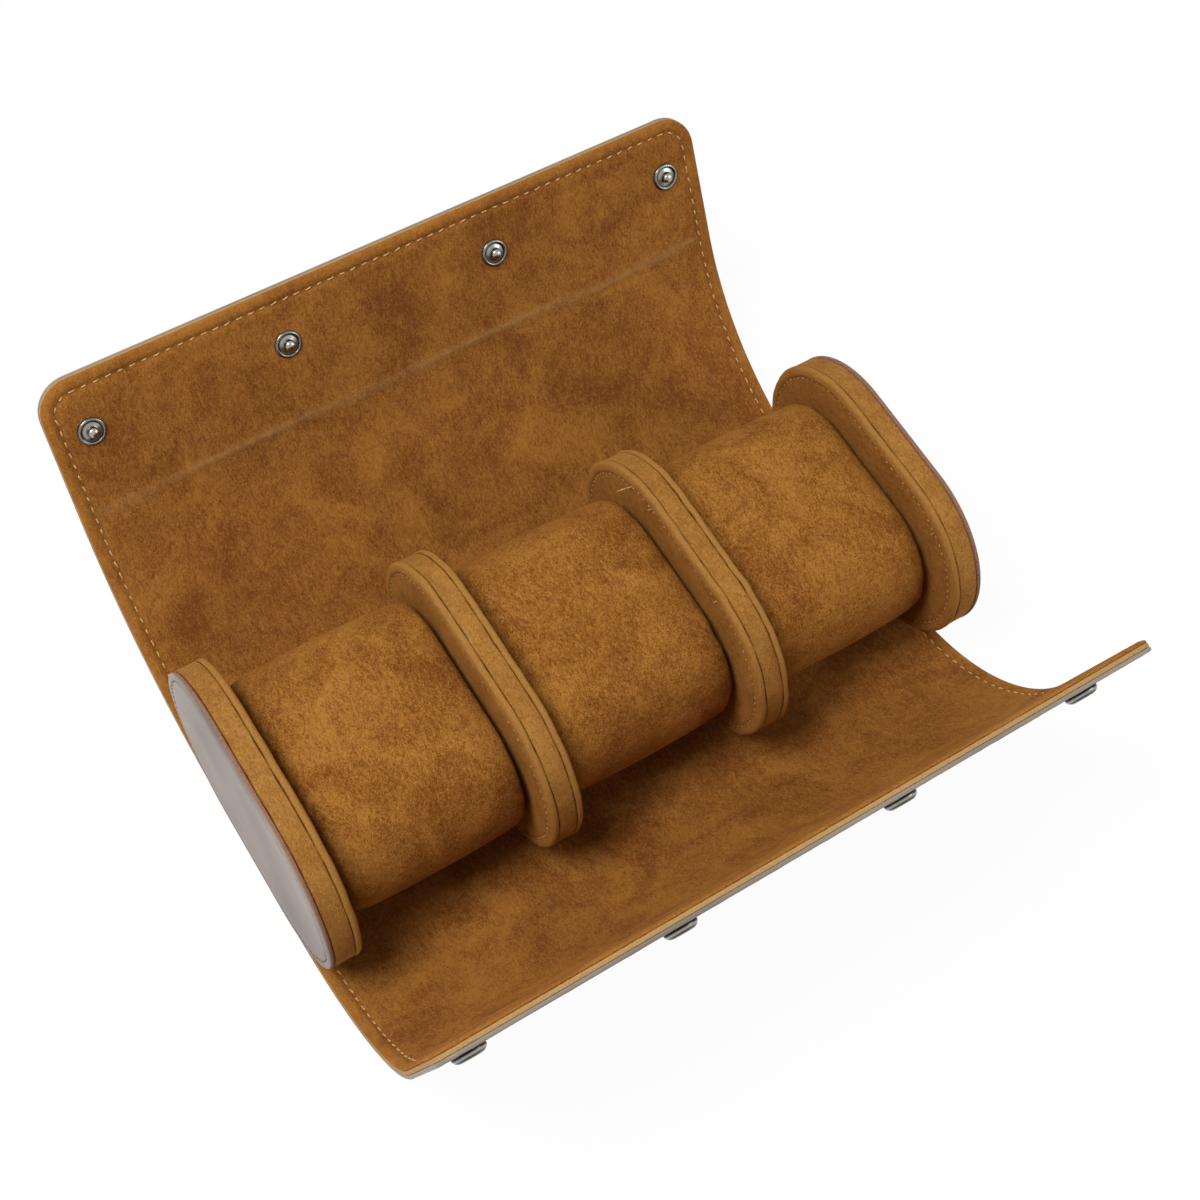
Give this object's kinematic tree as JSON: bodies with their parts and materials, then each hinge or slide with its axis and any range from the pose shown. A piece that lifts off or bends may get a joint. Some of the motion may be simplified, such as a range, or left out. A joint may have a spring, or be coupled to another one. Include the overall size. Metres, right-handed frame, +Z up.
{
  "type": "watch travel case",
  "caption": "Open roll-up travel case for wristwatches: suede-lined leather wrap with snap flap, stadium-shaped end discs and dividers, and removable padded cushions.",
  "frame": {"origin": "on the underside of the flat base, below the middle of the row of discs", "axes": "+X along the row, +Y towards the flap, -Y towards the front panel, +Z up"},
  "size_m": [0.2, 0.2068, 0.0941],
  "materials": {
    "leather": "smooth grained leather, greyish taupe, low sheen",
    "board": "stiff grey-brown bag board, hidden",
    "padding": "soft open foam, hidden",
    "lining_suede": "caramel brown microsuede, brushed nap with soft blotches",
    "disc_suede": "lighter caramel microsuede, short nap",
    "cushion_suede": "orange-brown microsuede with a grainy nap",
    "gunmetal": "polished dark nickel",
    "spring_steel": "bright spring wire"
  },
  "bodies": {
    "root": {"leather_base": "leather", "board_base": "board", "lining_base": "lining_suede", "left_end_leather_face": "leather", "left_end_inner_face": "disc_suede", "left_end_core": "board", "left_end_gusset": "disc_suede", "right_end_leather_face": "leather", "right_end_inner_face": "disc_suede", "right_end_core": "board", "right_end_gusset": "disc_suede", "left_divider_left_face": "disc_suede", "left_divider_right_face": "disc_suede", "left_divider_core": "board", "left_divider_gusset": "disc_suede", "right_divider_left_face": "disc_suede", "right_divider_right_face": "disc_suede", "right_divider_core": "board", "right_divider_gusset": "disc_suede"},
    "back_lower": {"leather_back_lower": "leather", "foam_back_lower": "padding", "lining_back_lower": "lining_suede"},
    "back_middle": {"leather_back_middle": "leather", "foam_back_middle": "padding", "lining_back_middle": "lining_suede"},
    "back_upper": {"leather_back_upper": "leather", "foam_back_upper": "padding", "lining_back_upper": "lining_suede"},
    "front_lower": {"leather_front_lower": "leather", "foam_front_lower": "padding", "lining_front_lower": "lining_suede"},
    "front_middle": {"leather_front_middle": "leather", "foam_front_middle": "padding", "lining_front_middle": "lining_suede"},
    "front_upper": {"leather_front_upper": "leather", "foam_front_upper": "padding", "lining_front_upper": "lining_suede"},
    "flap": {"leather_flap": "leather", "board_flap": "board", "lining_flap": "lining_suede", "flap_studs": "gunmetal", "flap_caps": "gunmetal"},
    "front_panel": {"leather_front_panel": "leather", "board_front_panel": "board", "lining_front_panel": "lining_suede", "front_sockets": "gunmetal", "socket_springs": "spring_steel", "front_posts": "gunmetal"},
    "left_cushion": {"left_cushion_cover": "cushion_suede", "left_cushion_foam": "padding"},
    "middle_cushion": {"middle_cushion_cover": "cushion_suede", "middle_cushion_foam": "padding"},
    "right_cushion": {"right_cushion_cover": "cushion_suede", "right_cushion_foam": "padding"}
  },
  "joints": [
    {"name": "flap_fold", "type": "hinge", "parent": "root", "child": "back_lower", "pos_m": [0, 0.0235, 0.0032], "axis": [1, 0, 0], "range_deg": [-4, 28]},
    {"name": "back_middle_fold", "type": "hinge", "parent": "back_lower", "child": "back_middle", "pos_m": [0, 0.04595, 0.0064], "axis": [1, 0, 0], "range_deg": [-4.88, 34.02]},
    {"name": "back_upper_fold", "type": "hinge", "parent": "back_middle", "child": "back_upper", "pos_m": [0, 0.06932, 0.01753], "axis": [1, 0, 0], "range_deg": [-3.19, 22.25]},
    {"name": "flap_crease_fold", "type": "hinge", "parent": "back_upper", "child": "flap", "pos_m": [0, 0.09161, 0.04088], "axis": [1, 0, 0], "range_deg": [-5.43, 37.89]},
    {"name": "front_fold", "type": "hinge", "parent": "root", "child": "front_lower", "pos_m": [0, -0.0214, 0.0032], "axis": [-1, 0, 0], "range_deg": [-4, 20]},
    {"name": "front_middle_fold", "type": "hinge", "parent": "front_lower", "child": "front_middle", "pos_m": [0, -0.04289, 0.00731], "axis": [-1, 0, 0], "range_deg": [-5.62, 28.02]},
    {"name": "front_upper_fold", "type": "hinge", "parent": "front_middle", "child": "front_upper", "pos_m": [0, -0.06766, 0.02608], "axis": [-1, 0, 0], "range_deg": [-5.78, 28.84]},
    {"name": "front_panel_fold", "type": "hinge", "parent": "front_upper", "child": "front_panel", "pos_m": [0, -0.0782, 0.0487], "axis": [-1, 0, 0], "range_deg": [-5.18, 25.8]},
    {"name": "left_cushion_lift", "type": "slide", "parent": "root", "child": "left_cushion", "axis": [0, 0, -1], "range_m": [-0.08, 0]},
    {"name": "middle_cushion_lift", "type": "slide", "parent": "root", "child": "middle_cushion", "axis": [0, 0, -1], "range_m": [-0.08, 0]},
    {"name": "right_cushion_lift", "type": "slide", "parent": "root", "child": "right_cushion", "axis": [0, 0, -1], "range_m": [-0.08, 0]}
  ],
  "couplings": [
    {"joint": "back_middle_fold", "follows": "flap_fold", "ratio": 1.2143},
    {"joint": "back_upper_fold", "follows": "flap_fold", "ratio": 0.79378},
    {"joint": "flap_crease_fold", "follows": "flap_fold", "ratio": 1.3526},
    {"joint": "front_middle_fold", "follows": "front_fold", "ratio": 1.4},
    {"joint": "front_upper_fold", "follows": "front_fold", "ratio": 1.4408},
    {"joint": "front_panel_fold", "follows": "front_fold", "ratio": 1.2892}
  ]
}
